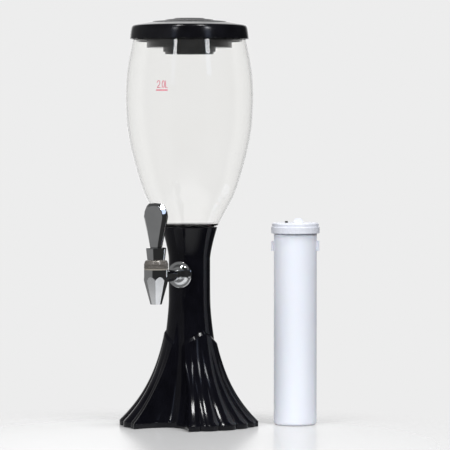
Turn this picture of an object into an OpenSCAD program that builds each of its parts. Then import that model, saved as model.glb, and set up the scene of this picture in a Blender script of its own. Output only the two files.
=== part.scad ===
// Table-top drink tower: a clear reservoir on a flared base, with a self-closing tap,
// a push-on lid, and an ice tube that twist-locks into the socket under the lid.
// The origin is on the table at the tower's axis, +Z is up, and the tap points to -Y.
// Angles in plan are counted from -Y towards +X.

/* [Base] */
// Height of the base, from the table to its rim
base_h = 234; // [215:1:260]
// Radius of the foot at the crest of its pleats
foot_r = 83; // [76:0.5:92]
// Height of the upright band round the foot
foot_band_h = 6.3; // [4:0.1:10]
// Radius that the flare of the base tends to, high up
flare_core_r = 18; // [14:0.5:21]
// Share of the base's height over which the flare falls by the factor e
flare_fall_share = 0.2586; // [0.24:0.001:0.28]
// Radius of the column at its narrowest
column_r = 24.6; // [24.4:0.1:27]
// Outer radius of the rim that carries the reservoir
rim_r = 31.3; // [30.5:0.1:33]
// Height over which the column widens to the rim
rim_flare_h = 37; // [28:1:44]
// Wall of the base
base_wall = 2.5; // [1.8:0.1:3]

/* [Pleats and webs] */
// Pleats on each of the three petals
pleats = 5; // [3:1:7]
// Depth of the creases between the pleats at the foot
pleat_depth = 3.8; // [1:0.1:5]
// How much the pleats crowd towards a petal's edges
pleat_crowd = 0.5; // [0:0.05:0.8]
// Radius at the middle of a hollow web at the foot
web_foot_r = 45; // [40:0.5:52]
// Share of the base's height over which a web's flare falls by the factor e
web_fall_share = 0.2222; // [0.2:0.001:0.24]
// Half the angle that a web takes at the foot
web_foot_angle = 24.3; // [20:0.1:28]
// Half the angle that a web takes on the column
web_column_angle = 10.5; // [8:0.1:13]
// Depth of the hollow along a web on the column
web_dip = 0.7; // [0.2:0.1:1]
// Share of the base's height at which the ledge stands at the middle of a petal
ledge_height_share = 0.4722; // [0.44:0.001:0.49]
// Drop of the ledge from there to the petal's edges
ledge_drop = 14; // [6:0.5:16]
// Height of the ledge's bevel
ledge_bevel = 3.4; // [2:0.1:5]
// Share of the flare that is left above the ledge
ledge_share = 0.66; // [0.5:0.02:0.85]

/* [Base cover and feet] */
// Thickness of the cover under the base
cover_t = 2.4; // [2:0.1:3.5]
// Distance of the cover's screws from the axis
screw_pcd_r = 56; // [50:0.5:60]
// Radius of a screw's shank
screw_r = 1.4; // [1.2:0.05:1.8]
// Length of a screw's shank
screw_l = 14; // [10:0.5:18]
// Radius of a foot pad
pad_r = 8; // [6:0.5:9]
// Thickness of a foot pad
pad_t = 1.2; // [0.8:0.1:1.6]
// Distance of the foot pads from the axis
pad_ring_r = 38; // [34:0.5:41]

/* [Reservoir] */
// Radius of the reservoir at its belly
belly_r = 75.4; // [71:0.2:80]
// Radius of the reservoir at its mouth
mouth_r = 64.9; // [62:0.1:68]
// Radius of the reservoir just above the base's rim
shoulder_r = 35.2; // [33.5:0.1:38]
// Height from the shoulder to the belly
lower_h = 153.3; // [140:0.5:170]
// Height from the belly to the mouth
upper_h = 75; // [66:0.5:84]
// Wall of the reservoir
reservoir_wall = 2.2; // [1.8:0.1:2.6]
// Radius of the neck that stands in the column
neck_r = 20.8; // [19.5:0.1:21.4]
// Depth of the neck below the shoulder
neck_h = 71.5; // [68:0.5:76]
// Thickness of the gasket between the rim and the shoulder
gasket_t = 1.2; // [0.8:0.1:2]

/* [Lid] */
// Height of the lid above the mouth
lid_h = 16; // [14:0.2:19]
// How far the lid's skirt comes down over the mouth
skirt_drop = 8.5; // [6:0.1:11]
// How far the lid's plug ring goes into the mouth
plug_drop = 11.5; // [9:0.1:14]
// Wall of the lid
lid_wall = 2.2; // [1.8:0.1:2.6]
// Thickness of the seal over the mouth
lid_seal_t = 2; // [1.2:0.1:2.6]
// Radius of the inlay disc in the middle of the lid
disc_r = 18.3; // [15:0.1:20]
// Radius of the socket's drum
drum_r = 50.3; // [46:0.1:54]
// How far the drum reaches below the mouth
drum_drop = 18.8; // [15:0.2:22]
// How far the socket's ring reaches below the mouth
ring_drop = 23.7; // [22:0.2:26]
// How far the socket's lip reaches below the mouth
lip_drop = 26.3; // [25:0.1:30]
// Wall of the socket's ring outside the groove for the lugs
ring_wall = 2.2; // [1.6:0.1:3]

/* [Tap] */
// Distance of the tap's upright axis from the tower's axis
tap_reach = 91; // [84:0.5:100]
// Height from the tap's shank up to the base's rim
tap_sink = 55.5; // [52:0.5:58]
// Outer radius of the shank
shank_r = 6.75; // [6:0.05:7.2]
// Radius of the bore through the shank
shank_bore_r = 4.2; // [3.4:0.1:4.6]
// Outer radius of the tap body
tap_r = 14.1; // [13:0.1:15.5]
// Height of the tap body above the shank's axis
tap_top_h = 9; // [8.4:0.1:11]
// Depth of the tap body below the shank's axis
tap_drop = 30.9; // [27:0.1:36]
// Corner radius of the eight-sided taper at the spout's end
spout_end_r = 6.6; // [6.2:0.1:7.4]
// Height below the shank's axis at which the taper reaches the full radius
taper_drop = 3.2; // [2:0.1:5]
// Radius of the spout's bore
spout_bore_r = 4.3; // [3.4:0.1:4.6]
// Radius of the chamber in the tap body
chamber_r = 8.6; // [8.2:0.1:9]
// Depth of the valve seat below the shank's axis
seat_drop = 13; // [12:0.1:14]
// Radius of the escutcheon
escutcheon_r = 15.5; // [15:0.1:18]
// Height of the bonnet
bonnet_h = 9.3; // [8:0.1:11]
// Radius of the bonnet's flat top
bonnet_top_r = 11.2; // [9:0.1:12]
// Thickness of the seal under the bonnet
bonnet_seal_t = 1.8; // [1.2:0.1:2.4]

/* [Tap lever] */
// Radius of the stem
stem_r = 3; // [2.4:0.1:3.4]
// Radius of the pivot pin
pin_r = 1.25; // [1:0.05:1.5]
// Height of the pin above the foot of the lever's collar
pin_rise = 6; // [5.2:0.1:7]
// Radius of the lever's collar at its foot
collar_foot_r = 10.35; // [9.8:0.05:11.2]
// Radius of the lever's collar at its brim
collar_brim_r = 11.75; // [11:0.05:13]
// Height of the lever's collar
collar_h = 14.4; // [13:0.1:17]
// Height of the lever above its collar
lever_h = 51.3; // [44:0.1:60]
// Width of the lever at its shoulders
lever_w = 29.6; // [24:0.1:34]
// Width of the lever where it meets the collar
lever_foot_w = 14.2; // [11:0.1:18]
// Thickness of the lever
lever_t = 11.5; // [9:0.1:14]
// Width of the bevel round the lever's flat face
lever_bevel = 4.2; // [3:0.1:5]
// Radius of the spring's wire
spring_wire_r = 0.45; // [0.35:0.05:0.6]
// Turns of the spring
spring_turns = 7; // [5:1:9]

/* [Ice tube] */
// Radius of the ice tube
tube_r = 25.35; // [24:0.05:26.5]
// Height of the tube below its cap
tube_h = 225.6; // [207:0.2:228]
// Wall of the tube
tube_wall = 2; // [1.6:0.1:2.4]
// Height of the tube's neck inside the cap
tube_neck_h = 8.6; // [7:0.1:11]
// How far the lugs reach outside the tube
lug_out = 3.15; // [2.4:0.05:4.2]
// Height of a lug
lug_h = 11.8; // [9:0.1:14]
// Width of a lug
lug_w = 8; // [6:0.1:10]
// Drop from the tube's shoulder to the top of the lugs
lug_drop = 8.4; // [6:0.1:12]
// How far the cap reaches outside the tube
cap_wide = 3.35; // [2.6:0.05:5.6]
// Height of the cap
cap_h = 12.2; // [11:0.1:15]
// Thickness of the seal in the cap
cap_seal_t = 1.4; // [1:0.1:2]
// Place of the ice tube's axis beside the tower, along X
tube_x = 114; // [100:0.5:130]
// Place of the ice tube's axis beside the tower, along Y
tube_y = 51.4; // [40:0.5:65]
// Turn of the lugs and the cap about the tube's axis
tube_turn = 24.3; // [0:0.1:60]

/* [Hidden] */

// Fits
cut = 1;
slip = 0.3;
snug = 0.05;
fine = 96;
small = 40;

// Colours
base_black = [0.03, 0.03, 0.035];
lid_black = [0.06, 0.06, 0.065];
clear_tint = [0.86, 0.89, 0.9, 0.35];
chrome_grey = [0.72, 0.73, 0.75];
seal_grey = [0.25, 0.25, 0.26];
seal_beige = [0.72, 0.66, 0.55];
ice_white = [0.87, 0.9, 0.94];
cap_white = [0.93, 0.94, 0.95];

// Three petals and three webs make the base
petals = 3;
sector_angle = 360 / petals;
web_seg = 4;
pleat_seg = 4;
petal_points = pleats * pleat_seg;

function smooth(t) =
    let (s = min(1, max(0, t)))
    s * s * (3 - 2 * s);

function mix(a, b, t) = a + (b - a) * t;

// Heights that follow the base's
flare_fall = base_h * flare_fall_share;
web_fall = base_h * web_fall_share;
ledge_z = base_h * ledge_height_share;
tap_z = base_h - tap_sink;

// Radii that follow the ice tube's
lug_reach_r = tube_r + lug_out;
cap_r = tube_r + cap_wide;

// Place of point i across a petal, from one edge to the other
function petal_share(i) =
    let (t = i / petal_points - 0.5)
    0.5 + mix(t, 0.5 * sin(180 * t), pleat_crowd);

// A point at a radius and an angle in plan, counted from -Y towards +X
function plan_point(r, angle) = [r * sin(angle), -r * cos(angle)];

// The petals' flare, and the column that stands on it above the ledge
function flare_r(z) =
    flare_core_r + (foot_r - flare_core_r) * exp(-max(0, z - foot_band_h) / flare_fall);

rim_bevel = 1.2;
rim_top_z = base_h - rim_bevel;
rim_flare_power = 1.2;

function rim_gain(z) =
    let (t = min(1, max(0, (z - rim_top_z + rim_flare_h) / rim_flare_h)))
    (rim_r - column_r) * pow(t, rim_flare_power);

function column_at(z) =
    column_r + ledge_share * max(0, flare_r(z) - column_r) + rim_gain(z);

// Between these heights the webs narrow from the foot's angle to the column's
web_narrow_from = ledge_z * 0.28;
web_narrow_to = ledge_z * 1.15;

function web_spread(z) = 1 - smooth((z - web_narrow_from) / (web_narrow_to - web_narrow_from));

function web_angle(z) = mix(web_column_angle, web_foot_angle, web_spread(z));

web_column_r = column_r * cos(web_column_angle) - web_dip;

function web_r(z) =
    web_column_r + (web_foot_r - web_column_r) * exp(-max(0, z - foot_band_h) / web_fall)
    + rim_gain(z);

// The ledge is highest at the middle of a petal: its height at an angle from that middle
ledge_power = 1.1;

function ledge_at(off_angle) =
    ledge_z - ledge_drop * pow(min(1, off_angle / (sector_angle / 2 - web_column_angle)), ledge_power);

// Rings follow the ledge, and are level again at the foot and up the column
ring_level_z = ledge_z + ledge_drop * 2.2;

function ring_z(z, off_angle) =
    let (to = ledge_at(off_angle))
    z < foot_band_h ? z
    : z <= ledge_z ? mix(foot_band_h, to, (z - foot_band_h) / (ledge_z - foot_band_h))
    : z < ring_level_z ? mix(to, ring_level_z, (z - ledge_z) / (ring_level_z - ledge_z))
    : z;

// The corner of a petal stands a little further out than its pleats
corner_share = 0.03;
foot_round = 0.7;

function pleat_depth_at(z) =
    pleat_depth * max(0, flare_r(z) - flare_r(ledge_z)) / (foot_r - flare_r(ledge_z));

// Radius across a petal: i counts the points from one edge to the other
function petal_r(i, z, above) =
    let (
        body = above ? column_at(z) : flare_r(z),
        pleat = min(pleats - 1, floor(i / pleat_seg)),
        v = 2 * (i / pleat_seg - pleat) - 1,
        outer_edge = (pleat == 0 && v < 0) || (pleat == pleats - 1 && v > 0)
    )
    outer_edge ? body * (1 + corner_share * web_spread(z) * v * v)
    : body - (above ? 0 : pleat_depth_at(z)) * v * v;

// One ring of the outside at the nominal height z, drawn in by inset
function base_ring(z, above, inset = 0) = [
    for (k = [0 : petals - 1])
    let (
        turn = k * sector_angle,
        edge_z = ring_z(z, sector_angle / 2 - web_column_angle),
        w = web_angle(edge_z),
        edge_r = petal_r(0, edge_z, above) - inset,
        mid_r = web_r(edge_z) - inset,
        edge_p = [edge_r * sin(w), edge_r * cos(w)]
    )
    each concat(
        [for (i = [0 : web_seg - 1])
            let (
                u = i / web_seg,
                x = edge_p[0] * u,
                y = mix(mid_r, edge_p[1], u * u),
                p = plan_point(norm([x, y]), turn + atan2(x, y))
            )
            [p[0], p[1], edge_z]],
        [for (i = [0 : petal_points])
            let (
                angle = mix(w, sector_angle - w, petal_share(i)),
                pz = ring_z(z, abs(angle - sector_angle / 2)),
                p = plan_point(petal_r(i, pz, above) - inset, turn + angle)
            )
            [p[0], p[1], pz]],
        [for (i = [1 : web_seg - 1])
            let (
                u = 1 - i / web_seg,
                x = edge_p[0] * u,
                y = mix(mid_r, edge_p[1], u * u),
                p = plan_point(norm([x, y]), turn + sector_angle - atan2(x, y))
            )
            [p[0], p[1], edge_z]]
    )
];

// A closed solid over a list of rings of equal length round the axis. Its two ends are level.
module loft(rings) {
    n = len(rings[0]);
    top = len(rings) - 1;
    first = (top + 1) * n;
    points = concat(
        [for (ring = rings) each ring],
        [[0, 0, rings[0][0][2]], [0, 0, rings[top][0][2]]]
    );
    sides = [
        for (i = [0 : top - 1], j = [0 : n - 1])
        let (a = i * n + j, b = i * n + (j + 1) % n)
        each [[a, a + n, b + n], [a, b + n, b]]
    ];
    ends = [
        for (j = [0 : n - 1])
        let (k = (j + 1) % n)
        each [[j, k, first], [top * n + k, top * n + j, first + 1]]
    ];
    polyhedron(points, concat(sides, ends), convexity = 6);
}

flare_steps = 10;
flare_power = 1.35;
column_steps = 4;
rim_steps = 5;

function base_outside() =
    let (
        below = ledge_z - ledge_bevel / 2,
        above = ledge_z + ledge_bevel / 2
    )
    [
        base_ring(0, false),
        base_ring(foot_band_h - foot_round, false),
        for (i = [0 : flare_steps - 1])
            base_ring(mix(foot_band_h, below, pow(i / flare_steps, flare_power)), false,
                i == 0 ? foot_round / 2 : 0),
        base_ring(below, false),
        base_ring(above, true),
        for (i = [1 : column_steps])
            base_ring(mix(above, rim_top_z - rim_flare_h, i / column_steps), true),
        for (i = [1 : rim_steps])
            base_ring(mix(rim_top_z - rim_flare_h, rim_top_z, i / rim_steps), true),
        base_ring(base_h, true, rim_bevel)
    ];

// The hollow follows the outside without its pleats
wall_across = base_wall * 1.38;
hollow_top_z = ledge_at(sector_angle / 2 - web_column_angle) - ledge_bevel * 1.5;
bore_r = neck_r + slip * 2;
hollow_end_r = column_r + slip * 3;
neck_room_z = base_h + gasket_t - neck_h - cover_t;

function inside_ring(z, inset) = [
    for (k = [0 : petals - 1])
    let (
        turn = k * sector_angle,
        r = flare_r(z) - pleat_depth_at(z) - inset,
        w = web_angle(z) + asin(inset / r),
        mid_r = web_r(z) - inset
    )
    each concat(
        [for (i = [0 : web_seg - 1])
            let (
                u = i / web_seg,
                x = r * sin(w) * u,
                y = mix(mid_r, r * cos(w), u * u),
                p = plan_point(norm([x, y]), turn + atan2(x, y))
            )
            [p[0], p[1], z]],
        [for (i = [0 : petal_points])
            let (p = plan_point(r, turn + mix(w, sector_angle - w, petal_share(i))))
            [p[0], p[1], z]],
        [for (i = [1 : web_seg - 1])
            let (
                u = 1 - i / web_seg,
                x = r * sin(w) * u,
                y = mix(mid_r, r * cos(w), u * u),
                p = plan_point(norm([x, y]), turn + sector_angle - atan2(x, y))
            )
            [p[0], p[1], z]]
    )
];

function round_ring(z, r) =
    let (n = petals * (2 * web_seg + petal_points))
    [for (i = [0 : n - 1]) let (p = plan_point(r, i * 360 / n)) [p[0], p[1], z]];

hollow_steps = 7;

// From the hollow's top down to the table
function base_inside() = [
    round_ring(hollow_top_z + ledge_bevel * 2, hollow_end_r),
    for (i = [hollow_steps : -1 : 0])
        inside_ring(mix(foot_band_h, hollow_top_z, pow(i / hollow_steps, flare_power)), wall_across),
    inside_ring(0, wall_across)
];

// Bosses under the petals take the cover's screws, and end in the petals' wall
boss_wall = 2.4;
boss_top_z = foot_band_h
    + flare_fall * ln((foot_r - flare_core_r) / (screw_pcd_r + screw_r + 2 * boss_wall - flare_core_r));

module at_petals(r) {
    for (k = [0 : petals - 1])
        rotate([0, 0, k * sector_angle + sector_angle / 2 - 90])
        translate([r, 0, 0])
        children();
}

// Turns a solid drawn along +Z so that it runs from the tap towards the tower's axis
module along_shank() {
    translate([0, 0, tap_z])
    rotate([90, 0, 0])
    children();
}

washer_t = 1.4;
land_y = column_r + slip * 2;
land_r = escutcheon_r - slip * 4;

module base_shell() {
    color(base_black)
    difference() {
        union() {
            loft(concat(base_inside(), base_outside()));
            at_petals(screw_pcd_r)
                translate([0, 0, cover_t])
                cylinder(r = screw_r + boss_wall, h = boss_top_z - cover_t, $fn = small);
            along_shank()
                cylinder(r = land_r, h = land_y, $fn = fine);
        }
        translate([0, 0, hollow_top_z + ledge_bevel])
            cylinder(r1 = hollow_end_r - rim_bevel, r2 = bore_r, h = neck_room_z - hollow_top_z - ledge_bevel,
                $fn = fine);
        translate([0, 0, neck_room_z - slip])
            cylinder(r = bore_r, h = base_h, $fn = fine);
        along_shank()
            cylinder(r = shank_r + slip, h = foot_r, $fn = fine);
        at_petals(screw_pcd_r)
            cylinder(r = screw_r + snug, h = screw_l + cover_t + cut, $fn = small);
    }
}

// The cover closes the base from below, level with the foot
head_r = screw_r * 2.2;
head_t = screw_r * 0.9;

module base_cover() {
    outline = inside_ring(0, wall_across + slip);
    color(base_black)
    difference() {
        linear_extrude(height = cover_t)
            polygon([for (p = outline) [p[0], p[1]]]);
        at_petals(screw_pcd_r) {
            translate([0, 0, -cut])
                cylinder(r = screw_r + slip, h = cover_t + 2 * cut, $fn = small);
            translate([0, 0, -cut])
                cylinder(r = head_r + slip, h = head_t + cut, $fn = small);
        }
        at_petals(pad_ring_r)
            translate([0, 0, -cut])
            cylinder(r = pad_r + snug, h = pad_t + cut, $fn = small);
    }
}

module cover_screws() {
    slot_w = screw_r * 0.5;
    color(chrome_grey)
    at_petals(screw_pcd_r)
    difference() {
        union() {
            translate([0, 0, head_t / 3])
                cylinder(r = head_r, h = head_t * 2 / 3, $fn = small);
            translate([0, 0, head_t])
                cylinder(r = screw_r, h = screw_l, $fn = small);
        }
        for (turn = [0, 90])
            rotate([0, 0, turn])
            cube([head_r, slot_w, head_t], center = true);
    }
}

module foot_pads() {
    color(seal_grey)
    at_petals(pad_ring_r)
        cylinder(r = pad_r, h = pad_t, $fn = small);
}

// Reservoir: shares of [height, radius] from the shoulder to the belly and on to the mouth
shoulder_z = base_h + gasket_t;
belly_z = shoulder_z + lower_h;
mouth_z = belly_z + upper_h;
lower_shares = [
    [0, 0], [0.043, 0.082], [0.12, 0.237], [0.197, 0.393], [0.274, 0.513], [0.351, 0.607],
    [0.505, 0.769], [0.659, 0.9], [0.813, 0.973], [1, 1]
];
upper_shares = [
    [0.247, 0.925], [0.404, 0.805], [0.561, 0.63], [0.719, 0.41], [0.861, 0.2], [1, 0]
];
outside_knots = concat(
    [for (s = lower_shares) [mix(shoulder_r, belly_r, s[1]), shoulder_z + lower_h * s[0]]],
    [for (s = upper_shares) [mix(mouth_r, belly_r, s[1]), belly_z + upper_h * s[0]]]
);

// A smooth curve through knots, with a number of steps between neighbours
function curve_point(a, b, c, d, t) =
    0.5 * ((2 * b) + (c - a) * t + (2 * a - 5 * b + 4 * c - d) * t * t
        + (3 * b - a - 3 * c + d) * t * t * t);

function curve(knots, steps) =
    let (last = len(knots) - 1)
    concat(
        [for (i = [0 : last - 1], s = [0 : steps - 1])
            curve_point(knots[max(0, i - 1)], knots[i], knots[i + 1], knots[min(last, i + 2)], s / steps)],
        [knots[last]]
    );

// The same line moved inwards by a wall
function inwards(line, wall) =
    let (last = len(line) - 1)
    [for (i = [0 : last])
        let (
            along = line[min(last, i + 1)] - line[max(0, i - 1)],
            side = [-along[1], along[0]] / norm(along)
        )
        line[i] + side * wall];

curve_steps = 2;
outside_line = curve(outside_knots, curve_steps);
inside_line = inwards(outside_line, reservoir_wall);
neck_in_r = neck_r - reservoir_wall;
neck_foot_z = shoulder_z - neck_h;
neck_round = 3;
shoulder_fall = 3;
boss_r = shank_r + boss_wall;
boss_end_y = neck_in_r - boss_wall * 2;
seal_deep = 2;
seal_wide = 1.9;
seal_r = shank_r + seal_wide;
// The boss and the seal end where their corners come to the neck's outside
boss_face_y = sqrt(pow(neck_r - slip, 2) - pow(boss_r, 2));
seal_face_y = sqrt(pow(neck_r - slip, 2) - pow(seal_r, 2));

function reversed(list) = [for (i = [len(list) - 1 : -1 : 0]) list[i]];

// Radii of the wall at a height
function outside_at(z) = lookup(z, [for (p = outside_line) [p[1], p[0]]]);
function inside_at(z) = lookup(z, [for (p = inside_line) [p[1], p[0]]]);

function between(line, from, to) =
    [for (p = line) if (p[1] > from + snug && p[1] < to - snug) p];

// The vessel is one moulding. Its barrel, funnel and neck are drawn apart, and meet at these heights
funnel_z = shoulder_z + lower_h * 0.051;
barrel_z = shoulder_z + lower_h * 0.488;

module vessel_wall(from, to) {
    rotate_extrude($fn = fine)
        polygon(concat(
            [[outside_at(from), from]],
            between(outside_line, from, to),
            [[outside_at(to), to], [inside_at(to), to]],
            reversed(between(inside_line, from, to)),
            [[inside_at(from), from]]
        ));
}

module reservoir() {
    color(clear_tint)
    vessel_wall(barrel_z, mouth_z);
}

module reservoir_funnel() {
    color(clear_tint)
    vessel_wall(funnel_z, barrel_z);
}

module reservoir_neck() {
    floor_z = shoulder_z + reservoir_wall;
    color(clear_tint)
    difference() {
        union() {
            rotate_extrude($fn = fine)
                polygon(concat(
                    [
                        [0, neck_foot_z],
                        [neck_r - neck_round, neck_foot_z],
                        [neck_r, neck_foot_z + neck_round],
                        [neck_r, shoulder_z],
                        [shoulder_r - gasket_t, shoulder_z]
                    ],
                    between(outside_line, shoulder_z, funnel_z),
                    [[outside_at(funnel_z), funnel_z], [inside_at(funnel_z), funnel_z]],
                    reversed(between(inside_line, floor_z + shoulder_fall, funnel_z)),
                    [
                        [neck_in_r, floor_z],
                        [neck_in_r, neck_foot_z + neck_round],
                        [neck_in_r - neck_round, neck_foot_z + reservoir_wall],
                        [0, neck_foot_z + reservoir_wall]
                    ]
                ));
            translate([0, -boss_end_y, tap_z])
                rotate([90, 0, 0])
                cylinder(r = boss_r, h = boss_face_y - boss_end_y, $fn = small);
        }
        translate([0, -boss_end_y + boss_wall * 2, tap_z])
            rotate([90, 0, 0])
            cylinder(r = shank_r + snug, h = neck_r * 2, $fn = small);
        translate([0, seal_deep - seal_face_y, tap_z])
            rotate([90, 0, 0])
            cylinder(r = seal_r + snug, h = neck_r, $fn = small);
    }
}

module reservoir_gasket() {
    color(seal_grey)
    translate([0, 0, base_h])
    difference() {
        cylinder(r = rim_r - rim_bevel * 1.5, h = gasket_t, $fn = fine);
        translate([0, 0, -cut])
            cylinder(r = bore_r + slip * 2, h = gasket_t + 2 * cut, $fn = fine);
    }
}

// Lid: the skirt hangs outside the mouth, and the plug ring inside it
lid_top_z = mouth_z + lid_h;
skirt_in_r = mouth_r + (belly_r - mouth_r) * 0.24;
skirt_r = skirt_in_r + lid_wall + slip;
plug_r = mouth_r - reservoir_wall - slip;
roof_z = mouth_z + lid_seal_t;
disc_t = 2;
disc_seat_z = lid_top_z - disc_t;
// Tops of the roof's steps, from the disc outwards, and the radii of the steps
step_rs = [disc_r + lid_wall * 4.6, disc_r + lid_wall * 11.4];
step_h = 1.1;
roof_fall = 1;
socket_top_z = disc_seat_z - lid_wall - 2 * (step_h + roof_fall);
crown_z = socket_top_z + lid_wall;
edge_round = 3.4;
edge_r = skirt_r - lid_wall * 1.05;

module lid() {
    color(lid_black)
    rotate_extrude($fn = fine)
        polygon([
            [0, socket_top_z],
            [plug_r - lid_wall, socket_top_z],
            [plug_r - lid_wall, mouth_z - plug_drop],
            [plug_r, mouth_z - plug_drop],
            [plug_r, roof_z],
            [skirt_in_r, roof_z],
            [skirt_in_r, mouth_z - skirt_drop],
            [skirt_r, mouth_z - skirt_drop],
            [skirt_r - slip, mouth_z],
            [edge_r + lid_wall / 2, roof_z + lid_wall],
            [edge_r, crown_z - edge_round],
            [edge_r - edge_round * 0.12, crown_z - edge_round * 0.62],
            [edge_r - edge_round * 0.42, crown_z - edge_round * 0.28],
            [edge_r - edge_round * 0.9, crown_z - edge_round * 0.06],
            [edge_r - edge_round * 2, crown_z + step_h / 4],
            [step_rs[1] + step_h, crown_z + roof_fall],
            [step_rs[1], crown_z + roof_fall + step_h],
            [step_rs[0] + step_h, crown_z + 2 * roof_fall + step_h],
            [step_rs[0], crown_z + 2 * (roof_fall + step_h)],
            [disc_r + slip / 3, lid_top_z - step_h / 2],
            [disc_r + slip / 3, disc_seat_z],
            [0, disc_seat_z]
        ]);
}

module lid_disc() {
    color(lid_black)
    rotate_extrude($fn = fine)
        polygon([
            [0, disc_seat_z],
            [disc_r, disc_seat_z],
            [disc_r, lid_top_z - step_h / 2],
            [disc_r - step_h / 2, lid_top_z],
            [0, lid_top_z]
        ]);
}

module lid_seal() {
    color(seal_grey)
    translate([0, 0, mouth_z])
    difference() {
        cylinder(r = skirt_in_r - snug, h = lid_seal_t, $fn = fine);
        translate([0, 0, -cut])
            cylinder(r = plug_r + snug, h = lid_seal_t + 2 * cut, $fn = fine);
    }
}

// Socket under the lid: the tube's lugs go up the slots and turn over the lip
groove_r = lug_reach_r + slip + snug;
guide_r = tube_r + slip + snug;
ring_r = groove_r + ring_wall;
lip_t = 4;
lip_z = mouth_z - lip_drop;
groove_z = lip_z + lip_t;
slot_w = lug_w + 4 * slip;

module lid_socket() {
    ring_z = mouth_z - ring_drop;
    drum_z = mouth_z - drum_drop;
    floor_z = drum_z + lid_wall;
    color(lid_black)
    difference() {
        rotate_extrude($fn = fine)
            polygon([
                [guide_r, lip_z],
                [groove_r, lip_z],
                [groove_r, ring_z],
                [ring_r, ring_z],
                [ring_r, drum_z],
                [drum_r, drum_z],
                [drum_r, socket_top_z],
                [drum_r - lid_wall, socket_top_z],
                [drum_r - lid_wall, floor_z],
                [ring_r, floor_z],
                [ring_r, socket_top_z],
                [guide_r, socket_top_z],
                [guide_r, groove_z + lug_h + slip * 2],
                [groove_r, groove_z + lug_h + slip * 2],
                [groove_r, groove_z],
                [guide_r, groove_z]
            ]);
        rotate([0, 0, tube_turn])
            translate([-ring_r - cut, -slot_w / 2, lip_z - cut])
            cube([2 * (ring_r + cut), slot_w, lip_t + cut + snug]);
    }
}

// Tap parts on the shank, drawn along +Z from the tower's axis outwards
escutcheon_t = 4.6;
brim_t = 1.7;
escutcheon_y = land_y + washer_t;

module escutcheon() {
    dome_r = escutcheon_r * 0.78;
    top_r = shank_r + brim_t * 1.4;
    color(chrome_grey)
    along_shank()
    translate([0, 0, escutcheon_y])
    rotate_extrude($fn = fine)
        polygon([
            [shank_r + snug * 2, 0],
            [escutcheon_r - brim_t / 3, 0],
            [escutcheon_r, brim_t / 3],
            [escutcheon_r, brim_t * 0.7],
            [escutcheon_r - brim_t / 3, brim_t],
            [dome_r, brim_t],
            [dome_r - brim_t / 2, brim_t * 1.9],
            [top_r, escutcheon_t],
            [shank_r + snug * 2, escutcheon_t]
        ]);
}

module escutcheon_washer() {
    color(seal_grey)
    along_shank()
    translate([0, 0, land_y])
    difference() {
        cylinder(r = land_r, h = washer_t, $fn = fine);
        translate([0, 0, -cut])
            cylinder(r = shank_r + snug * 2, h = washer_t + 2 * cut, $fn = fine);
    }
}

module shank_seal() {
    color(seal_grey)
    along_shank()
    translate([0, 0, seal_face_y - seal_deep])
    difference() {
        cylinder(r = seal_r, h = seal_deep, $fn = small);
        translate([0, 0, -cut])
            cylinder(r = shank_r + snug, h = seal_deep + 2 * cut, $fn = small);
    }
}

// Moves a solid to the tap's upright axis, at a height above the table
module at_tap(z) {
    translate([0, -tap_reach, z])
    children();
}

body_top_z = tap_z + tap_top_h;
seat_z = tap_z - seat_drop;
spout_z = tap_z - tap_drop;
collar_wide = 2;
collar_long = 3;
taper_sides = 8;
flat_share = cos(180 / taper_sides);
taper_tilt = atan((tap_r - spout_end_r) * flat_share / (tap_drop - taper_drop));

// The blocks that cut the taper's flats, which lean outwards from the spout's end
module taper_cuts() {
    for (i = [0 : taper_sides - 1])
        rotate([0, 0, i * 360 / taper_sides])
        translate([spout_end_r * flat_share, 0, 0])
        rotate([0, taper_tilt, 0])
        translate([0, -tap_r, -tap_r])
        cube([tap_r * 2, tap_r * 2, tap_drop * 2]);
}

module tap_body() {
    shank_end_y = boss_end_y + slip;
    color(chrome_grey)
    difference() {
        union() {
            at_tap(spout_z)
                difference() {
                    cylinder(r = tap_r, h = tap_drop + tap_top_h, $fn = fine);
                    taper_cuts();
                }
            along_shank()
                translate([0, 0, shank_end_y])
                cylinder(r = shank_r, h = tap_reach - shank_end_y - chamber_r - slip, $fn = fine);
            along_shank()
                translate([0, 0, tap_reach - tap_r - collar_long])
                cylinder(r = shank_r + collar_wide, h = collar_long + tap_r / 2, $fn = fine);
        }
        at_tap(seat_z)
            cylinder(r = chamber_r, h = tap_r * 3, $fn = fine);
        at_tap(spout_z - cut)
            cylinder(r = spout_bore_r, h = tap_drop, $fn = small);
        along_shank()
            cylinder(r = shank_bore_r, h = tap_reach, $fn = small);
    }
}

module bonnet_seal() {
    color(seal_beige)
    at_tap(body_top_z)
    difference() {
        cylinder(r = tap_r - slip, h = bonnet_seal_t, $fn = fine);
        translate([0, 0, -cut])
            cylinder(r = chamber_r + snug * 2, h = bonnet_seal_t + 2 * cut, $fn = fine);
    }
}

bonnet_z = body_top_z + bonnet_seal_t;
bonnet_top_z = bonnet_z + bonnet_h;
bonnet_ceiling_z = bonnet_top_z - bonnet_h * 0.5;
spigot_h = 4.5;
spigot_wall = 2;
spring_room = 3.4;
spring_r = chamber_r - spring_room;
collar_gap = 0.4;

// Ribs round the bonnet, each with a groove above it
bonnet_ribs = 3;
bonnet_rib_h = bonnet_h * 0.2;
bonnet_rib_deep = 0.5;

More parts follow.
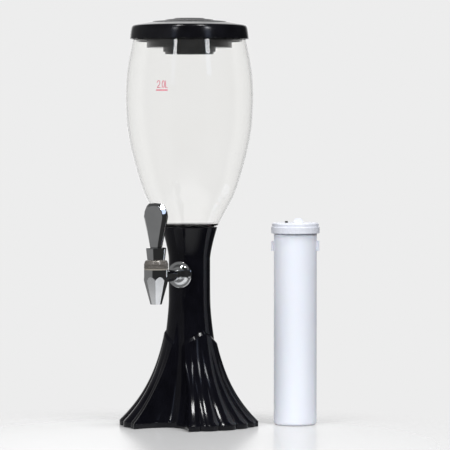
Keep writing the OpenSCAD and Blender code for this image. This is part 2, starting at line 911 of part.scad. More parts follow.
module bonnet() {
    spigot_r = chamber_r - snug;
    ribs_top_z = bonnet_z + bonnet_rib_h * bonnet_ribs;
    groove_r = tap_r - bonnet_rib_deep;
    color(seal_beige)
    translate([0, -tap_reach, 0])
    rotate_extrude($fn = fine)
        polygon(concat(
            [
                [stem_r + snug, bonnet_ceiling_z],
                [spigot_r - spigot_wall, bonnet_ceiling_z],
                [spigot_r - spigot_wall, bonnet_z - bonnet_seal_t - spigot_h],
                [spigot_r, bonnet_z - bonnet_seal_t - spigot_h],
                [spigot_r, bonnet_z]
            ],
            [for (i = [0 : bonnet_ribs - 1], s = [[0, 0.05], [1, 0.3], [1, 0.75]])
                [groove_r + bonnet_rib_deep * s[0], bonnet_z + bonnet_rib_h * (i + s[1]) - snug / 2]],
            [
                [groove_r, ribs_top_z],
                [mix(bonnet_top_r, groove_r, 0.75), mix(ribs_top_z, bonnet_top_z, 0.6)],
                [mix(bonnet_top_r, groove_r, 0.3), bonnet_top_z - slip / 2],
                [bonnet_top_r, bonnet_top_z],
                [stem_r + snug, bonnet_top_z]
            ]
        ));
}

// Stem, seat plug and spring
plug_h = 4;
plug_room = 1.4;
flange_t = 1.8;
eye_wall = 2.7;
flange_z = seat_z + plug_h;
collar_z = bonnet_top_z + collar_gap;
pin_z = collar_z + pin_rise;
blade_t = stem_r * 2;
eye_r = pin_r + eye_wall;

module stem() {
    color(cap_white)
    at_tap(0)
    difference() {
        union() {
            translate([0, 0, seat_z + plug_h / 2])
                cylinder(r = stem_r - snug, h = plug_h / 2, $fn = small);
            translate([0, 0, flange_z])
                cylinder(r = spring_r + spring_wire_r * 3, h = flange_t, $fn = small);
            translate([0, 0, flange_z])
                cylinder(r = stem_r, h = pin_z - eye_r * 0.6 - flange_z, $fn = small);
            translate([-blade_t / 2, 0, pin_z])
                rotate([0, 90, 0])
                cylinder(r = eye_r, h = blade_t, $fn = small);
        }
        translate([-blade_t, 0, pin_z])
            rotate([0, 90, 0])
            cylinder(r = pin_r + snug, h = blade_t * 2, $fn = small);
    }
}

module seat_plug() {
    plug_wide = chamber_r - plug_room;
    color(seal_beige)
    at_tap(0)
    rotate_extrude($fn = fine)
        polygon([
            [0, seat_z],
            [plug_wide - plug_h / 4, seat_z],
            [plug_wide, seat_z + plug_h / 4],
            [plug_wide - plug_h / 3, flange_z],
            [stem_r, flange_z],
            [stem_r, seat_z + plug_h / 2],
            [0, seat_z + plug_h / 2]
        ]);
}

// The spring is one helix that stands on the stem's flange and ends under the bonnet
spring_sides = 6;
spring_seg = 12;

module stem_spring() {
    foot_z = flange_z + flange_t + spring_wire_r + snug;
    head_z = bonnet_ceiling_z - spring_wire_r - snug;
    steps = spring_turns * spring_seg;
    rise = (head_z - foot_z) / steps;
    pts = [
        for (i = [0 : steps], s = [0 : spring_sides - 1])
        let (
            turn = i * 360 / spring_seg,
            around = s * 360 / spring_sides,
            r = spring_r + spring_wire_r * cos(around)
        )
        [r * cos(turn), r * sin(turn), foot_z + rise * i + spring_wire_r * sin(around)]
    ];
    sides = [
        for (i = [0 : steps - 1], s = [0 : spring_sides - 1])
        let (
            a = i * spring_sides + s,
            b = i * spring_sides + (s + 1) % spring_sides
        )
        each [[a, b, b + spring_sides], [a, b + spring_sides, a + spring_sides]]
    ];
    caps = [
        [for (s = [spring_sides - 1 : -1 : 0]) s],
        [for (s = [0 : spring_sides - 1]) steps * spring_sides + s]
    ];
    color(chrome_grey)
    at_tap(0)
        polyhedron(pts, concat(sides, caps), convexity = 8);
}

// The lever: a flat-faced paddle on a flared collar that straddles the stem's eye
collar_top_z = collar_z + collar_h;
collar_wall = 1.1;
brim_h = 1.6;
brim_round = 0.5;

module lever_collar() {
    slot_gap = slip / 2;
    slot_high = pin_rise + eye_r + slip * 2;
    slot_front = collar_foot_r - collar_wall;
    slot_back = eye_r + slip;
    color(chrome_grey)
    at_tap(0)
    difference() {
        rotate_extrude($fn = fine)
            polygon([
                [0, collar_z],
                [collar_foot_r - slip, collar_z],
                [collar_foot_r, collar_z + slip],
                [collar_brim_r, collar_top_z - brim_h],
                [collar_brim_r - brim_round, collar_top_z - brim_round],
                [lever_foot_w / 2 + brim_round * 2, collar_top_z],
                [0, collar_top_z]
            ]);
        translate([-blade_t / 2 - slot_gap, -slot_front, collar_z - cut])
            cube([blade_t + 2 * slot_gap, slot_front + slot_back, slot_high + cut]);
        translate([-collar_brim_r, 0, pin_z])
            rotate([0, 90, 0])
            cylinder(r = pin_r + snug / 2, h = collar_brim_r * 2, $fn = small);
    }
}

module pivot_pin() {
    half = collar_foot_r - slip * 2;
    color(chrome_grey)
    at_tap(pin_z)
    translate([-half, 0, 0])
    rotate([0, 90, 0])
        cylinder(r = pin_r, h = half * 2, $fn = small);
}

// Outline of the lever: shares of half the width and of the height, from the foot up
lever_outline_shares = [[1, 0.69], [0.77, 0.915], [0.58, 1]];
// How much of a layer's inset goes to each part of the outline
foot_inset_share = 0.55;
side_inset_share = 0.9;
shoulder_inset_share = 0.2;
top_inset_share = 0.75;

// One upright layer of the lever, inset from the full outline, at a depth along Y
module lever_layer(depth, inset) {
    foot = lever_foot_w / 2;
    right = concat(
        [[foot - inset * foot_inset_share, 0]],
        [for (s = lever_outline_shares) [
            lever_w / 2 * s[0] - inset * side_inset_share,
            lever_h * s[1] - inset * (s[1] == 1 ? top_inset_share : shoulder_inset_share)
        ]]
    );
    translate([0, depth, 0])
    rotate([90, 0, 0])
    linear_extrude(height = snug, center = true)
        polygon(concat(right, reversed([for (p = right) [-p[0], p[1]]])));
}

module lever() {
    color(chrome_grey)
    at_tap(collar_top_z)
    hull() {
        lever_layer(-lever_t / 2, lever_bevel);
        lever_layer(-lever_t * 0.14, 0);
        lever_layer(lever_t * 0.14, 0);
        lever_layer(lever_t / 2, lever_bevel);
    }
}

// Ice tube, beside the tower
tube_step = 0.75;
tube_neck_r = tube_r - tube_step;
tube_round = 3;

module at_tube() {
    translate([tube_x, tube_y, 0])
    rotate([0, 0, tube_turn])
    children();
}

module ice_tube() {
    inner_r = tube_r - tube_wall;
    top_z = tube_h + tube_neck_h;
    round_steps = 6;
    color(ice_white)
    at_tube() {
        rotate_extrude($fn = fine)
            polygon(concat(
                [[0, 0]],
                [for (i = [0 : round_steps])
                    let (a = i * 90 / round_steps)
                    [tube_r - tube_round * (1 - sin(a)), tube_round * (1 - cos(a))]],
                [
                    [tube_r, tube_h],
                    [tube_neck_r, tube_h],
                    [tube_neck_r, top_z],
                    [inner_r, top_z],
                    [inner_r, tube_wall + tube_round / 2],
                    [inner_r - tube_round / 2, tube_wall],
                    [0, tube_wall]
                ]
            ));
        for (side = [0, 180])
            rotate([0, 0, side])
            translate([0, 0, tube_h - lug_drop - lug_h])
            intersection() {
                translate([tube_r - tube_wall / 2, -lug_w / 2, 0])
                    cube([lug_reach_r, lug_w, lug_h]);
                cylinder(r = lug_reach_r, h = lug_h, $fn = fine);
            }
    }
}

cap_gap = 0.7;
cap_tier_share = 0.62;
cap_step = 1.1;
vent_r = 1.7;
vent_x = -10.5;
tab_x = 3.6;
tab_w = 10.6;
tab_h = 5.4;
tab_t = 3;
cap_z = tube_h + cap_gap;
cap_top_z = cap_z + cap_h;
cap_seal_z = tube_h + tube_neck_h;

module ice_cap() {
    in_r = tube_neck_r + slip;
    ceiling_z = cap_seal_z + cap_seal_t;
    tier_z = cap_z + cap_h * cap_tier_share;
    color(cap_white)
    at_tube()
    difference() {
        union() {
            rotate_extrude($fn = fine)
                polygon([
                    [in_r, cap_z],
                    [cap_r - slip, cap_z],
                    [cap_r, cap_z + slip],
                    [cap_r, tier_z - slip],
                    [cap_r - slip, tier_z],
                    [cap_r - cap_step, tier_z],
                    [cap_r - cap_step, cap_top_z - cap_step],
                    [cap_r - 2 * cap_step, cap_top_z],
                    [0, cap_top_z],
                    [0, ceiling_z],
                    [in_r, ceiling_z]
                ]);
            translate([tab_x, 0, cap_top_z - slip])
                rotate([90, 0, 0])
                linear_extrude(height = tab_t, center = true)
                intersection() {
                    translate([-tab_w / 2, 0])
                        square([tab_w, tab_h + slip]);
                    translate([0, tab_h + slip - tab_w / 2])
                        scale(1.12)
                        circle(d = tab_w, $fn = small);
                }
        }
        translate([vent_x, 0, ceiling_z - cut])
            cylinder(r = vent_r - slip + snug, h = cap_h, $fn = small);
    }
}

module ice_cap_seal() {
    color(seal_grey)
    at_tube()
    translate([0, 0, cap_seal_z])
    difference() {
        cylinder(r = tube_neck_r, h = cap_seal_t, $fn = fine);
        translate([0, 0, -cut])
            cylinder(r = tube_r - tube_wall, h = cap_seal_t + 2 * cut, $fn = fine);
    }
}

module vent_plug() {
    ceiling_z = cap_seal_z + cap_seal_t;
    head_h = 2;
    color(seal_grey)
    at_tube()
    translate([vent_x, 0, 0]) {
        translate([0, 0, ceiling_z])
            cylinder(r = vent_r - slip, h = cap_top_z - ceiling_z, $fn = small);
        translate([0, 0, cap_top_z])
            cylinder(r = vent_r, h = head_h, $fn = small);
    }
}

base_shell();
base_cover();
cover_screws();
foot_pads();
reservoir_gasket();
reservoir();
reservoir_funnel();
reservoir_neck();
lid();
lid_disc();
lid_seal();
lid_socket();
escutcheon();
escutcheon_washer();
shank_seal();
tap_body();
bonnet_seal();
bonnet();
stem();
seat_plug();
stem_spring();
lever();
lever_collar();
pivot_pin();
ice_tube();
ice_cap();
ice_cap_seal();
vent_plug();
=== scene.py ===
"""Looks for a table-top drink tower: clear reservoir, gloss black base and lid, chrome tap, white ice tube.

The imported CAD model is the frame. Heights and radii here are in millimetres until a mesh is made.
Angles in plan are counted from -Y, where the tap points, towards +X.
"""

import math

import bmesh
import bpy
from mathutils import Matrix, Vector


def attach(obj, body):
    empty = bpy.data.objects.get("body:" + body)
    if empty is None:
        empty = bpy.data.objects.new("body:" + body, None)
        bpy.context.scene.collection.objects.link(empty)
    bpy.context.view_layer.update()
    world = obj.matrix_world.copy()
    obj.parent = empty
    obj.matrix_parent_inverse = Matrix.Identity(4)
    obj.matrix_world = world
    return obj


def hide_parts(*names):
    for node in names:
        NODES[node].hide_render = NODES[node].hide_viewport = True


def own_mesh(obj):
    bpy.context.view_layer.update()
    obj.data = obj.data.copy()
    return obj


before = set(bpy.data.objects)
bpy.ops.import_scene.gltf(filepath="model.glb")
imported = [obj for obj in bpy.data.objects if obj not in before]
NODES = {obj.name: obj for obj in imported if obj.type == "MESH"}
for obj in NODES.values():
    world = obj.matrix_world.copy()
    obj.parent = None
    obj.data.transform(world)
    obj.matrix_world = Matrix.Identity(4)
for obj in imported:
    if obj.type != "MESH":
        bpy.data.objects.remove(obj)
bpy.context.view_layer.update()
MM = 0.001


# Meshes

def new_object(name, mesh, body, material):
    """An object on a body, with its material."""
    obj = bpy.data.objects.new(name, mesh)
    bpy.context.scene.collection.objects.link(obj)
    mesh.materials.append(material)
    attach(obj, body)
    return obj


def finish_mesh(name, points, faces, sharp_angle=32):
    """A mesh in metres from points in millimetres, smooth except at edges over the sharp angle."""
    mesh = bpy.data.meshes.new(name)
    mesh.from_pydata([(x * MM, y * MM, z * MM) for x, y, z in points], [], faces)
    bm = bmesh.new()
    bm.from_mesh(mesh)
    bmesh.ops.remove_doubles(bm, verts=bm.verts, dist=1e-6)
    bmesh.ops.recalc_face_normals(bm, faces=bm.faces)
    limit = math.radians(sharp_angle)
    for face in bm.faces:
        face.smooth = True
    for edge in bm.edges:
        edge.smooth = len(edge.link_faces) != 2 or edge.calc_face_angle(0) < limit
    bm.to_mesh(mesh)
    bm.free()
    return mesh


def skin(rows, closed=True, wrap=False):
    """Points and quads over rows of equal length. wrap joins the last row to the first."""
    n = len(rows[0])
    points = [p for row in rows for p in row]
    faces = []
    last = len(rows) if wrap else len(rows) - 1
    for i in range(last):
        a = i * n
        b = (i + 1) % len(rows) * n
        for j in range(n if closed else n - 1):
            k = (j + 1) % n
            faces.append((a + j, a + k, b + k, b + j))
    return points, faces


def lathe(name, profile, steps=192, at=(0, 0), sharp_angle=32, wrap=True):
    """A closed profile of (radius, height), turned round an upright axis."""
    rows = []
    for r, z in profile:
        row = []
        for s in range(steps):
            angle = 2 * math.pi * s / steps
            row.append((at[0] + r * math.cos(angle), at[1] + r * math.sin(angle), z))
        rows.append(row)
    points, faces = skin(rows, wrap=wrap)
    return finish_mesh(name, points, faces, sharp_angle)


# Base: the solid's flare, webs, pleats and ledge in finer steps, with a wider rim that meets the vessel

BASE_H = 234
FOOT_R = 83
FOOT_BAND_H = 6.3
FLARE_CORE_R = 18
FLARE_FALL = BASE_H * 0.2586
COLUMN_R = 24.6
RIM_R = 33
RIM_FLARE_H = 37
RIM_BEVEL = 0.8
RIM_POWER = 1.35
PLEATS = 5
PLEAT_DEPTH = 3.8
PLEAT_CROWD = 0.5
WEB_FOOT_R = 45
WEB_FALL = BASE_H * 0.2222
WEB_FOOT_ANGLE = 24.3
WEB_COLUMN_ANGLE = 10.5
WEB_DIP = 0.7
LEDGE_Z = BASE_H * 0.4722
LEDGE_DROP = 14
LEDGE_BEVEL = 3.4
LEDGE_SHARE = 0.66
LEDGE_POWER = 1.1
CORNER_SHARE = 0.03
SECTOR = 120
PLEAT_STEPS = 14
WEB_STEPS = 8
WALL = 3.45
BORE_R = 21.4
BORE_FOOT_Z = 162
HOLLOW_R = 25.3
HOLLOW_NECK_Z = 98
HOLLOW_TOP_Z = 91
FOOT_ROUND_R = 0.5
FLARE_STEPS = 34
FLARE_CROWD = 1.2
COLUMN_STEPS = 12
RIM_STEPS = 16
HOLLOW_STEPS = 11
RIM_TOP_Z = BASE_H - RIM_BEVEL
WEB_NARROW = (LEDGE_Z * 0.28, LEDGE_Z * 1.15)
RING_LEVEL_Z = LEDGE_Z + LEDGE_DROP * 2.2
WEB_COLUMN_R = COLUMN_R * math.cos(math.radians(WEB_COLUMN_ANGLE)) - WEB_DIP


def mix(a, b, t):
    return a + (b - a) * t


def smooth(t):
    t = min(1, max(0, t))
    return t * t * (3 - 2 * t)


def plan_point(r, angle, z):
    a = math.radians(angle)
    return (r * math.sin(a), -r * math.cos(a), z)


def flare_r(z):
    return FLARE_CORE_R + (FOOT_R - FLARE_CORE_R) * math.exp(-max(0, z - FOOT_BAND_H) / FLARE_FALL)


def rim_gain(z):
    t = min(1, max(0, (z - RIM_TOP_Z + RIM_FLARE_H) / RIM_FLARE_H))
    return (RIM_R - COLUMN_R) * t ** RIM_POWER


def column_at(z):
    return COLUMN_R + LEDGE_SHARE * max(0, flare_r(z) - COLUMN_R) + rim_gain(z)


def web_spread(z):
    return 1 - smooth((z - WEB_NARROW[0]) / (WEB_NARROW[1] - WEB_NARROW[0]))


def web_angle(z):
    return mix(WEB_COLUMN_ANGLE, WEB_FOOT_ANGLE, web_spread(z))


def web_r(z):
    fall = math.exp(-max(0, z - FOOT_BAND_H) / WEB_FALL)
    return WEB_COLUMN_R + (WEB_FOOT_R - WEB_COLUMN_R) * fall + rim_gain(z)


def ledge_at(off_angle):
    share = min(1, off_angle / (SECTOR / 2 - WEB_COLUMN_ANGLE))
    return LEDGE_Z - LEDGE_DROP * share ** LEDGE_POWER


def ring_z(z, off_angle):
    """Rings follow the ledge, and are level at the foot and up the column."""
    to = ledge_at(off_angle)
    if z < FOOT_BAND_H or z >= RING_LEVEL_Z:
        return z
    if z <= LEDGE_Z:
        return mix(FOOT_BAND_H, to, (z - FOOT_BAND_H) / (LEDGE_Z - FOOT_BAND_H))
    return mix(to, RING_LEVEL_Z, (z - LEDGE_Z) / (RING_LEVEL_Z - LEDGE_Z))


def pleat_depth_at(z):
    return PLEAT_DEPTH * max(0, flare_r(z) - flare_r(LEDGE_Z)) / (FOOT_R - flare_r(LEDGE_Z))


def crowded(share):
    """Place across a petal, where the pleats crowd towards its edges."""
    t = share - 0.5
    return 0.5 + mix(t, 0.5 * math.sin(math.pi * t), PLEAT_CROWD)


def petal_r(share, z, above):
    """Radius across a petal, where share runs from 0 at one edge to 1 at the other."""
    body = column_at(z) if above else flare_r(z)
    pleat = min(PLEATS - 1, int(share * PLEATS))
    v = 2 * (share * PLEATS - pleat) - 1
    if (pleat == 0 and v < 0) or (pleat == PLEATS - 1 and v > 0):
        return body * (1 + CORNER_SHARE * web_spread(z) * v * v)
    return body if above else body - pleat_depth_at(z) * v * v


def web_points(turn, edge_p, mid_r, z, shares):
    """Points along a hollow web, from its middle to an edge given as (across, outwards)."""
    row = []
    for u in shares:
        x = edge_p[0] * u
        y = mix(mid_r, edge_p[1], u * u)
        row.append(plan_point(math.hypot(x, y), turn + math.degrees(math.atan2(x, y)), z))
    return row


def base_ring(z, above, inset=0.0):
    row = []
    for k in range(3):
        turn = k * SECTOR
        edge_z = ring_z(z, SECTOR / 2 - WEB_COLUMN_ANGLE)
        w = web_angle(edge_z)
        edge_r = petal_r(0, edge_z, above) - inset
        edge_p = (edge_r * math.sin(math.radians(w)), edge_r * math.cos(math.radians(w)))
        mid_r = web_r(edge_z) - inset
        row += web_points(turn, edge_p, mid_r, edge_z, [i / WEB_STEPS for i in range(WEB_STEPS)])
        steps = PLEATS * PLEAT_STEPS
        for i in range(steps + 1):
            angle = mix(w, SECTOR - w, crowded(i / steps))
            pz = ring_z(z, abs(angle - SECTOR / 2))
            row.append(plan_point(petal_r(i / steps, pz, above) - inset, turn + angle, pz))
        back = web_points(0, edge_p, mid_r, edge_z, [1 - i / WEB_STEPS for i in range(1, WEB_STEPS)])
        for x, y, pz in back:
            angle = math.degrees(math.atan2(x, -y))
            row.append(plan_point(math.hypot(x, y), turn + SECTOR - angle, pz))
    return row


def inner_ring(z):
    row = []
    for k in range(3):
        turn = k * SECTOR
        r = flare_r(z) - pleat_depth_at(z) - WALL
        w = web_angle(z) + math.degrees(math.asin(WALL / r))
        edge_p = (r * math.sin(math.radians(w)), r * math.cos(math.radians(w)))
        mid_r = web_r(z) - WALL
        row += web_points(turn, edge_p, mid_r, z, [i / WEB_STEPS for i in range(WEB_STEPS)])
        steps = PLEATS * PLEAT_STEPS
        for i in range(steps + 1):
            row.append(plan_point(r, turn + mix(w, SECTOR - w, crowded(i / steps)), z))
        back = web_points(0, edge_p, mid_r, z, [1 - i / WEB_STEPS for i in range(1, WEB_STEPS)])
        for x, y, pz in back:
            angle = math.degrees(math.atan2(x, -y))
            row.append(plan_point(math.hypot(x, y), turn + SECTOR - angle, pz))
    return row


def round_ring(z, r):
    n = 3 * (2 * WEB_STEPS + PLEATS * PLEAT_STEPS)
    return [plan_point(r, 360 * i / n, z) for i in range(n)]


def base_rows():
    """Up the outside to the rim, down inside the column and the hollow, and back to the foot."""
    below = LEDGE_Z - LEDGE_BEVEL / 2
    above = LEDGE_Z + LEDGE_BEVEL / 2
    rows = [base_ring(0, False, FOOT_ROUND_R * 0.5), base_ring(FOOT_ROUND_R * 0.5, False)]
    rows.append(base_ring(FOOT_BAND_H - FOOT_ROUND_R, False))
    for i in range(4):
        a = math.pi / 2 * (i + 1) / 4
        z = FOOT_BAND_H - FOOT_ROUND_R * (1 - math.sin(a))
        rows.append(base_ring(z, False, FOOT_ROUND_R / 2 * (1 - math.cos(a))))
    for i in range(1, FLARE_STEPS + 1):
        rows.append(base_ring(mix(FOOT_BAND_H, below, (i / FLARE_STEPS) ** FLARE_CROWD), False))
    for i in range(COLUMN_STEPS):
        rows.append(base_ring(mix(above, RIM_TOP_Z - RIM_FLARE_H, i / COLUMN_STEPS), True))
    for i in range(RIM_STEPS + 1):
        rows.append(base_ring(mix(RIM_TOP_Z - RIM_FLARE_H, RIM_TOP_Z, i / RIM_STEPS), True))
    rows.append(base_ring(BASE_H, True, RIM_BEVEL))
    rows.append(round_ring(BASE_H, BORE_R))
    rows.append(round_ring(BORE_FOOT_Z, BORE_R))
    rows.append(round_ring(HOLLOW_NECK_Z, HOLLOW_R))
    for i in range(HOLLOW_STEPS + 1):
        rows.append(inner_ring(mix(HOLLOW_TOP_Z, FOOT_BAND_H, i / HOLLOW_STEPS)))
    rows.append(inner_ring(0))
    return rows


# Materials

def noise(tree, scale, detail, coords):
    node = tree.nodes.new("ShaderNodeTexNoise")
    node.inputs["Scale"].default_value = scale
    node.inputs["Detail"].default_value = detail
    tree.links.new(coords, node.inputs["Vector"])
    return node.outputs["Fac"]


def ranged(tree, value, low, high):
    node = tree.nodes.new("ShaderNodeMapRange")
    node.inputs["From Min"].default_value = 0.3
    node.inputs["From Max"].default_value = 0.7
    node.inputs["To Min"].default_value = low
    node.inputs["To Max"].default_value = high
    tree.links.new(value, node.inputs["Value"])
    return node.outputs["Result"]


def make_material(name, low, high, rough, bump=0.02, bump_scale=900, tone_scale=60, depth=0.0002, **sockets):
    """Principled surface: a colour that drifts from low to high, a roughness range and a fine bump."""
    material = bpy.data.materials.new(name)
    material.use_nodes = True
    tree = material.node_tree
    shader = tree.nodes["Principled BSDF"]
    coords = tree.nodes.new("ShaderNodeTexCoord").outputs["Object"]
    ramp = tree.nodes.new("ShaderNodeValToRGB")
    ramp.color_ramp.elements[0].position = 0.3
    ramp.color_ramp.elements[0].color = (*low, 1)
    ramp.color_ramp.elements[1].position = 0.7
    ramp.color_ramp.elements[1].color = (*high, 1)
    tree.links.new(noise(tree, tone_scale, 3, coords), ramp.inputs["Fac"])
    tree.links.new(ramp.outputs["Color"], shader.inputs["Base Color"])
    rough_noise = noise(tree, tone_scale * 2.3, 4, coords)
    tree.links.new(ranged(tree, rough_noise, rough[0], rough[1]), shader.inputs["Roughness"])
    if bump:
        node = tree.nodes.new("ShaderNodeBump")
        node.inputs["Strength"].default_value = bump
        node.inputs["Distance"].default_value = depth
        tree.links.new(noise(tree, bump_scale, 2, coords), node.inputs["Height"])
        tree.links.new(node.outputs["Normal"], shader.inputs["Normal"])
    for key, value in sockets.items():
        shader.inputs[key.replace("_", " ")].default_value = value
    return material


BASE_BLACK = make_material("base_black", (0.0025, 0.0025, 0.004), (0.0045, 0.0045, 0.007), (0.10, 0.15),
                           Specular_IOR_Level=0.3)
LID_BLACK = make_material("lid_black", (0.003, 0.003, 0.004), (0.006, 0.006, 0.008), (0.14, 0.2), bump=0.04,
                          Specular_IOR_Level=0.34)
CLEAR = make_material("reservoir_clear", (0.992, 0.99, 0.98), (0.998, 0.997, 0.99), (0.0, 0.02), bump=0.01,
                      tone_scale=18, bump_scale=30, IOR=1.5, Transmission_Weight=1.0,
                      Specular_IOR_Level=0.36)
CHROME = make_material("chrome_trim", (0.70, 0.71, 0.72), (0.78, 0.79, 0.80), (0.02, 0.05), bump=0.006,
                       Metallic=1.0)
STEEL = make_material("steel", (0.45, 0.45, 0.46), (0.6, 0.6, 0.61), (0.22, 0.34), Metallic=1.0)
SEAL_GREY = make_material("seal_grey", (0.03, 0.03, 0.032), (0.05, 0.05, 0.052), (0.5, 0.65), bump=0.15)
SEAL_BEIGE = make_material("seal_beige", (0.25, 0.23, 0.2), (0.32, 0.295, 0.26), (0.4, 0.55), bump=0.12)
ICE_WHITE = make_material("ice_white", (0.84, 0.865, 0.94), (0.85, 0.875, 0.95), (0.36, 0.39), bump=0.03,
                          tone_scale=14, Subsurface_Weight=0.08, Subsurface_Scale=0.004)
CAP_WHITE = make_material("cap_white", (0.74, 0.76, 0.83), (0.79, 0.81, 0.87), (0.22, 0.32), bump=0.04)
STEM_WHITE = make_material("stem_white", (0.7, 0.7, 0.68), (0.78, 0.78, 0.76), (0.35, 0.5))
MARK_RED = make_material("mark_red", (0.62, 0.04, 0.12), (0.72, 0.07, 0.16), (0.35, 0.5), bump=0.05)
BONNET_SATIN = make_material("bonnet_satin", (0.17, 0.155, 0.14), (0.22, 0.205, 0.19), (0.2, 0.3), bump=0.04,
                             Metallic=0.4)

NODE_LOOKS = {
    "base_shell": BASE_BLACK, "base_cover": BASE_BLACK, "cover_screws": STEEL, "foot_pads": SEAL_GREY,
    "reservoir_gasket": SEAL_GREY, "reservoir": CLEAR, "reservoir_funnel": CLEAR, "reservoir_neck": CLEAR,
    "lid": LID_BLACK, "lid_disc": LID_BLACK, "lid_seal": SEAL_GREY, "lid_socket": LID_BLACK,
    "escutcheon": CHROME, "escutcheon_washer": SEAL_GREY,
    "shank_seal": SEAL_GREY, "tap_body": CHROME, "bonnet_seal": SEAL_BEIGE, "bonnet": BONNET_SATIN,
    "stem": STEM_WHITE, "seat_plug": SEAL_BEIGE, "stem_spring": STEEL, "lever": CHROME,
    "lever_collar": CHROME, "pivot_pin": STEEL, "ice_tube": ICE_WHITE, "ice_cap": CAP_WHITE,
    "ice_cap_seal": SEAL_GREY, "vent_plug": SEAL_GREY,
}
for node_name, look in NODE_LOOKS.items():
    materials = NODES[node_name].data.materials
    if not materials:
        materials.append(look)
    for i in range(len(materials)):
        materials[i] = look

points, faces = skin(base_rows(), wrap=True)
base_mesh = finish_mesh("base_skin", points, faces, 24)
base_skin = new_object("base_skin", base_mesh, "tower", BASE_BLACK)
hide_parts("base_shell")


# Vessel: one smooth wall for the barrel, the funnel and the neck, with a boss for the tap's shank

SHOULDER_Z = 235.2
LOWER_H = 153.3
UPPER_H = 75
SHOULDER_R = 33.5
BELLY_R = 75.4
MOUTH_R = 64.9
VESSEL_WALL = 2.2
NECK_R = 20.8
NECK_FOOT_Z = 163.7
NECK_ROUND_R = 3
SHANK_Z = 178.5
SHANK_BOSS_R = 9.15
SHANK_BORE_R = 6.85
SHANK_BOSS_NEAR = 18.2
SHANK_BOSS_FAR = 13.9
LINE_STEPS = 10
LINE_EVENINGS = 16
VESSEL_STEPS = 240
LOWER_SHARES = [(0, 0), (0.043, 0.082), (0.12, 0.237), (0.197, 0.393), (0.274, 0.513), (0.351, 0.607),
                (0.505, 0.769), (0.659, 0.9), (0.813, 0.973), (1, 1)]
UPPER_SHARES = [(0.247, 0.925), (0.404, 0.805), (0.561, 0.63), (0.719, 0.41), (0.861, 0.2), (1, 0)]
BELLY_Z = SHOULDER_Z + LOWER_H
KNOTS = [(mix(SHOULDER_R, BELLY_R, s), SHOULDER_Z + LOWER_H * h) for h, s in LOWER_SHARES]
KNOTS += [(mix(MOUTH_R, BELLY_R, s), BELLY_Z + UPPER_H * h) for h, s in UPPER_SHARES]


def curve(knots, steps):
    """A smooth line through the knots."""
    line = []
    last = len(knots) - 1
    for i in range(last):
        a, b, c, d = knots[max(0, i - 1)], knots[i], knots[i + 1], knots[min(last, i + 2)]
        for s in range(steps):
            t = s / steps
            line.append(tuple(
                0.5 * (2 * q + (r - p) * t + (2 * p - 5 * q + 4 * r - w) * t * t
                       + (3 * q - p - 3 * r + w) * t ** 3)
                for p, q, r, w in zip(a, b, c, d)))
    return line + [knots[last]]


def evened(line, times):
    """Takes small waves out of a line and keeps its ends."""
    for _ in range(times):
        inner = [tuple((p + 2 * q + r) / 4 for p, q, r in zip(line[i - 1], line[i], line[i + 1]))
                 for i in range(1, len(line) - 1)]
        line = [line[0]] + inner + [line[-1]]
    return line


def inwards(line, wall):
    moved = []
    last = len(line) - 1
    for i, (r, z) in enumerate(line):
        dr = line[min(last, i + 1)][0] - line[max(0, i - 1)][0]
        dz = line[min(last, i + 1)][1] - line[max(0, i - 1)][1]
        long = math.hypot(dr, dz)
        moved.append((r - dz / long * wall, z + dr / long * wall))
    return moved


OUTSIDE = evened(curve(KNOTS, LINE_STEPS), LINE_EVENINGS)
INSIDE = inwards(OUTSIDE, VESSEL_WALL)


def outside_r(z):
    """Radius of the vessel's outside at a height."""
    for (r0, z0), (r1, z1) in zip(OUTSIDE, OUTSIDE[1:]):
        if z0 <= z <= z1:
            return mix(r0, r1, (z - z0) / (z1 - z0))
    return OUTSIDE[-1][0]


def quarter(r, z, size, start, steps=5):
    """A quarter of a circle round (r, z), from the start angle, counter-clockwise."""
    return [(r + size * math.cos(math.radians(start + 90 * i / steps)),
             z + size * math.sin(math.radians(start + 90 * i / steps))) for i in range(steps + 1)]


neck_in = NECK_R - VESSEL_WALL
neck_rows = [z for z in range(168, 236, 2) if NECK_FOOT_Z + NECK_ROUND_R < z < SHOULDER_Z]
profile = [(0.01, NECK_FOOT_Z)]
profile += quarter(NECK_R - NECK_ROUND_R, NECK_FOOT_Z + NECK_ROUND_R, NECK_ROUND_R, -90)
profile += [(NECK_R, z) for z in neck_rows]
profile += [(NECK_R, SHOULDER_Z), (SHOULDER_R - 1.2, SHOULDER_Z)]
profile += [p for p in OUTSIDE if p[1] > SHOULDER_Z]
profile += [(MOUTH_R - VESSEL_WALL, OUTSIDE[-1][1])]
profile += [p for p in reversed(INSIDE) if SHOULDER_Z + 2.6 < p[1] < OUTSIDE[-1][1]]
profile += [(neck_in + 6, SHOULDER_Z + 1.5), (neck_in + 1.2, SHOULDER_Z + 1.3), (neck_in, SHOULDER_Z + 0.8)]
profile += [(neck_in, z) for z in reversed(neck_rows)]
profile += [(neck_in, NECK_FOOT_Z + 4), (neck_in - 2, NECK_FOOT_Z + VESSEL_WALL)]
profile += [(0.01, NECK_FOOT_Z + VESSEL_WALL)]
vessel_mesh = lathe("vessel_skin", profile, steps=VESSEL_STEPS, wrap=False)
bm = bmesh.new()
bm.from_mesh(vessel_mesh)
shank_hole = []
for face in bm.faces:
    x, y, z = face.calc_center_median() / MM
    if y < 0 and z < SHOULDER_Z and math.hypot(x, z - SHANK_Z) < SHANK_BOSS_R:
        shank_hole.append(face)
bmesh.ops.delete(bm, geom=shank_hole, context="FACES")
bm.to_mesh(vessel_mesh)
bm.free()
vessel_skin = new_object("vessel_skin", vessel_mesh, "tower", CLEAR)
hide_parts("reservoir", "reservoir_funnel", "reservoir_neck")

